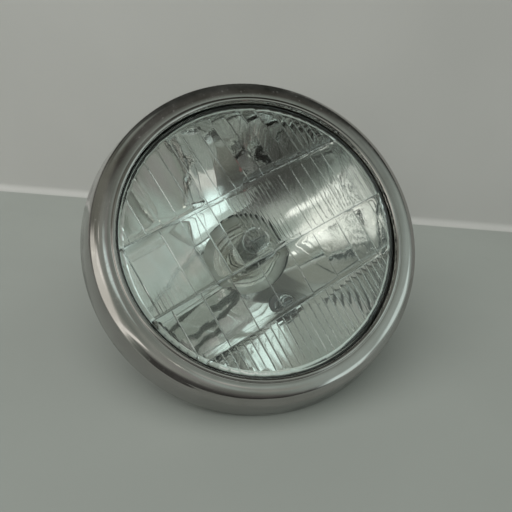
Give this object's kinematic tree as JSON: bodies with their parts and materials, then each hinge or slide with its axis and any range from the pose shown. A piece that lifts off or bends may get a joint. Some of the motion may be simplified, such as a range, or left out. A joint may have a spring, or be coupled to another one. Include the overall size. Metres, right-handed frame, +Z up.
{
  "type": "motorcycle headlight",
  "caption": "Round motorcycle headlight: chromed rim with a rolled lip, fluted glass lens, mirror reflector, two-filament bulb, position lamp and beam-aim pivots.",
  "frame": {"origin": "centre of the rim's rear edge, where it seats on the headlight bucket", "axes": "+Z up as fitted, the lamp looks along -Y, +X to the right of someone facing the lamp"},
  "size_m": [0.18, 0.096, 0.18],
  "materials": {
    "chrome": "polished, faintly hazed",
    "zinc_steel": "zinc-plated, dulled",
    "spring_steel": "satin",
    "brass": "dull",
    "clear_glass": "pressed glass with a green edge tint",
    "bulb_glass": "clear",
    "mirror": "aluminised mirror inside, bare steel outside",
    "tungsten": "satin",
    "nickel": "bright",
    "sealant": "matt",
    "black_rubber": "matt, dusty",
    "nylon": "matt",
    "bulb_plastic": "matt"
  },
  "bodies": {
    "rim_body": {"rim": "chrome", "top_hook": "zinc_steel", "fixing_tabs": "zinc_steel", "fixing_nuts": "zinc_steel", "pivot_bracket_upper": "zinc_steel", "pivot_bracket_lower": "zinc_steel", "adjuster_bracket": "zinc_steel", "adjuster_spring": "spring_steel"},
    "aim_screw": {"adjuster_screw": "zinc_steel", "adjuster_clip": "spring_steel"},
    "lens_unit": {"unit_ring": "zinc_steel", "ring_clips": "spring_steel", "adjuster_nut": "brass", "pivot_pin_upper": "zinc_steel", "pivot_pin_lower": "zinc_steel", "pivot_washers": "nylon", "lens": "clear_glass", "lens_gasket": "sealant", "reflector": "mirror", "bulb_collar": "zinc_steel", "collar_rivets": "nickel", "bulb_flange": "nickel", "bulb_base": "nickel", "bulb_glass": "bulb_glass", "bulb_filaments": "tungsten", "bulb_supports": "nickel", "bulb_shield": "nickel", "bulb_insulator": "bulb_plastic", "bulb_terminals": "nickel"},
    "bulb_lock": {"bulb_lock_ring": "zinc_steel"},
    "boot": {"rubber_boot": "black_rubber"},
    "pilot_lamp": {"pilot_holder": "black_rubber", "pilot_bulb": "bulb_glass", "pilot_filament": "tungsten", "pilot_contacts": "brass"}
  },
  "joints": [
    {"name": "beam_aim", "type": "hinge", "parent": "rim_body", "child": "lens_unit", "pos_m": [0, -0.004, 0], "axis": [0, 0, 1], "range_deg": [-1.7, 1.7], "deforming": ["adjuster_spring"]},
    {"name": "aim_screw_turn", "type": "hinge", "parent": "rim_body", "child": "aim_screw", "pos_m": [0.0806, 0, 0], "axis": [0, 1, 0], "range_deg": [-1080, 1080]},
    {"name": "lock_ring_turn", "type": "hinge", "parent": "lens_unit", "child": "bulb_lock", "pos_m": [0, 0.0341, 0], "axis": [0, 1, 0], "range_deg": [0, 25]},
    {"name": "boot_pull", "type": "slide", "parent": "lens_unit", "child": "boot", "axis": [0, 1, 0], "range_m": [0, 0.04]},
    {"name": "pilot_pull", "type": "slide", "parent": "lens_unit", "child": "pilot_lamp", "axis": [0, 1, 0], "range_m": [0, 0.025]}
  ],
  "couplings": [
    {"joint": "aim_screw_turn", "follows": "beam_aim", "ratio": -633}
  ]
}
